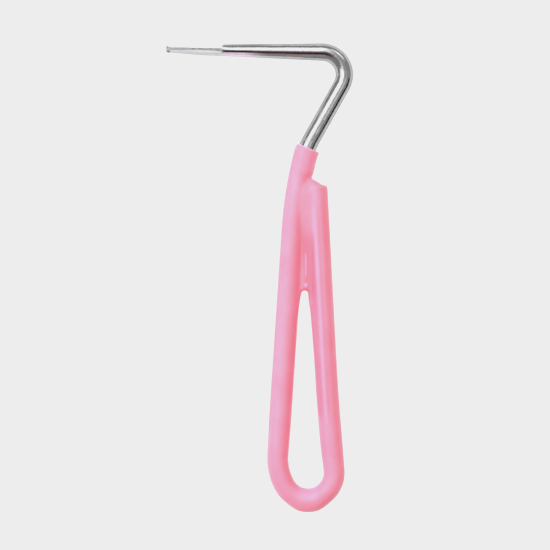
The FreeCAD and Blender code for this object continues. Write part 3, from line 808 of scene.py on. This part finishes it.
def unbend(piece):
    # Stores where each vertex would be if the rod were straight.
    b = bends
    pickWay = way(180 - b["pickTilt"])
    hookAngle = math.radians(90 + b["shankLean"] - b["pickTilt"])
    hookLength = hookAngle * b["hookRadius"]
    shankWay = way(-90 - b["shankLean"])
    shankLength = (line["shankFoot"] - line["shankTop"]).length
    unbent = piece.data.attributes.new("unbent", "FLOAT_VECTOR", "POINT")
    for vertex in piece.data.vertices:
        place = vertex.co
        fromHook = place - line["hook"]
        alongPick = (place - line["pickStart"]).dot(pickWay)
        alongShank = (place - line["shankTop"]).dot(shankWay)
        if alongPick > 0 and place.y > line["shankFoot"].y:
            along = -alongPick
            across = (place - line["pickStart"]).dot(way(90 - b["pickTilt"]))
        elif alongShank > 0:
            along = hookLength + alongShank
            across = (place - line["shankTop"]).dot(way(-b["shankLean"]))
        else:
            turned = math.radians(90 - b["pickTilt"]) - math.atan2(fromHook.y, fromHook.x)
            along = turned * b["hookRadius"]
            across = Vector((fromHook.x, fromHook.y, 0)).length - b["hookRadius"]
        straight = (across, place.z - rodPlane, along)
        unbent.data[vertex.index].vector = [value * millimetres for value in straight]


unbend(rodPiece)
paintGripLight(gripPiece)
rodPiece.data.materials.clear()
rodPiece.data.materials.append(makeSteel())
gripPiece.data.materials.clear()
gripPiece.data.materials.append(makeVinyl())
weldMetal = makeWeldSteel()
for name in ("weld_front", "weld_back"):
    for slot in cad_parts[name].material_slots:
        slot.material = weldMetal
print("finishes made")

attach(rodPiece, "root")
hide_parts("steel_rod")
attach(gripPiece, "root")
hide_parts("vinyl_grip")


studio = {
    "floorSize": 12.0,
    "floorDrop": 0.0001,
    "floorSockets": {
        "Base Color": (0.12, 0.12, 0.12, 1),
        "Roughness": 0.9,
        "Emission Color": (1, 1, 1, 1),
        "Emission Strength": 1.0,
    },
    "lens": 200.0,
    "sensor": 36,
    "clip": (0.01, 50),
    "frameWidth": 0.18975,
    "aim": (0.00523, 0.00097),
    "lightAim": (0.015, 0, 0),
    "paperShown": 0.847,         # how bright white paper is shown
}


def makeFloor():
    bpy.ops.object.select_all(action="DESELECT")
    bpy.ops.mesh.primitive_plane_add(size=studio["floorSize"], location=(0, 0, -studio["floorDrop"]))
    floor = bpy.context.active_object
    floor.name = "paleFloor"
    material, *others, shader = newMaterial("palePaper")
    setSockets(shader, studio["floorSockets"])
    floor.data.materials.append(material)


def makeCamera():
    camera = bpy.data.cameras.new("studioCamera")
    camera.lens = studio["lens"]
    camera.sensor_width = studio["sensor"]
    camera.clip_start, camera.clip_end = studio["clip"]
    holder = bpy.data.objects.new("studioCamera", camera)
    bpy.context.scene.collection.objects.link(holder)
    distance = studio["lens"] / studio["sensor"] * studio["frameWidth"]
    holder.location = (*studio["aim"], rodPlane + distance)
    bpy.context.scene.camera = holder


# The studio around the tool: soft patches on an even sky. Azimuth from +X, zenith from straight up.
skyBase = (0.62, 0.62, 0.63)
skyPatches = [
    # azimuth, half width, soft edge, zenith, half width, soft edge, colour
    (0, 180, 10, 90, 18, 30, (0.46, 0.46, 0.47)),
    (150, 62, 30, 31, 17, 12, (2.35, 2.42, 2.60)),
    (45, 14, 14, 56, 6, 7, (2.0, 2.0, 2.05)),
    (0, 30, 15, 56, 16, 8, (0.50, 0.50, 0.495)),
    (225, 28, 12, 34, 22, 8, (0.40, 0.40, 0.42)),
    (270, 26, 12, 14, 8, 6, (0.35, 0.31, 0.30)),
    (270, 26, 12, 28, 6, 6, (0.10, 0.035, 0.03)),
    (331, 22, 10, 18, 9, 7, (1.15, 1.15, 1.12)),
    (331, 20, 10, 70, 8, 4, (0.01, 0.01, 0.01)),
]


def makeSky():
    world = bpy.data.worlds.new("studioSky")
    bpy.context.scene.world = world
    world.use_nodes = True
    nodes, links = world.node_tree.nodes, world.node_tree.links
    place = nodes.new("ShaderNodeTexCoord").outputs["Generated"]
    zenith = mathNode(nodes, links, "ARCCOSINE", splitVector(nodes, links, place)["Z"])
    flat = vectorNode(nodes, links, "MULTIPLY", place, (1, 1, 0))
    level = vectorNode(nodes, links, "NORMALIZE", flat.outputs[0])
    colour = skyBase
    for azimuth, wide, softWide, height, tall, softTall, patch in skyPatches:
        facing = vectorNode(nodes, links, "DOT_PRODUCT", level.outputs[0], way(azimuth))
        outer = math.cos(math.radians(min(wide + softWide, 180)))
        inner = math.cos(math.radians(min(wide, 178)))
        # The small step keeps a patch that goes all the way round from having no soft edge at all.
        across = rangeNode(nodes, links, facing.outputs["Value"], outer - 0.0001, inner, 0.0, 1.0)
        away = mathNode(nodes, links, "SUBTRACT", zenith, math.radians(height))
        up = rangeNode(nodes, links, mathNode(nodes, links, "ABSOLUTE", away),
                       math.radians(tall + softTall), math.radians(tall), 0.0, 1.0)
        colour = mixNode(nodes, links, mathNode(nodes, links, "MULTIPLY", across, up), colour, patch)
    links.new(colour, nodes["Background"].inputs["Color"])


def setWhites():
    # Plain display curve: everything white and brighter is shown as one pale grey.
    view = bpy.context.scene.view_settings
    view.view_transform = "Standard"
    view.look = "None"
    view.use_curve_mapping = True
    mapping = view.curve_mapping
    mapping.extend = "HORIZONTAL"
    points = mapping.curves[3].points
    points[0].location = (0.0, 0.0)
    points[-1].location = (1.0, studio["paperShown"])
    mapping.update()


softBoxes = [
    # name, place, size, power, colour; they light the vinyl and stay out of the plating's reflections
    ("keyBox", (-0.86, 0.46, 0.52), 0.6, 13.0, (0.95, 0.80, 1.0)),
    ("topBox", (0.1, 0.2, 2.2), 1.6, 21.0, (1.0, 0.97, 1.0)),
]


def makeSoftBoxes():
    for name, place, size, power, colour in softBoxes:
        light = bpy.data.lights.new(name, "AREA")
        light.shape = "DISK"
        light.size = size
        light.energy = power
        light.color = colour
        box = bpy.data.objects.new(name, light)
        bpy.context.scene.collection.objects.link(box)
        box.location = place
        towards = Vector(studio["lightAim"]) - Vector(place)
        box.rotation_euler = towards.to_track_quat("-Z", "Y").to_euler()
        box.visible_glossy = False


makeFloor()
makeCamera()
makeSky()
makeSoftBoxes()
setWhites()
print("stage set")
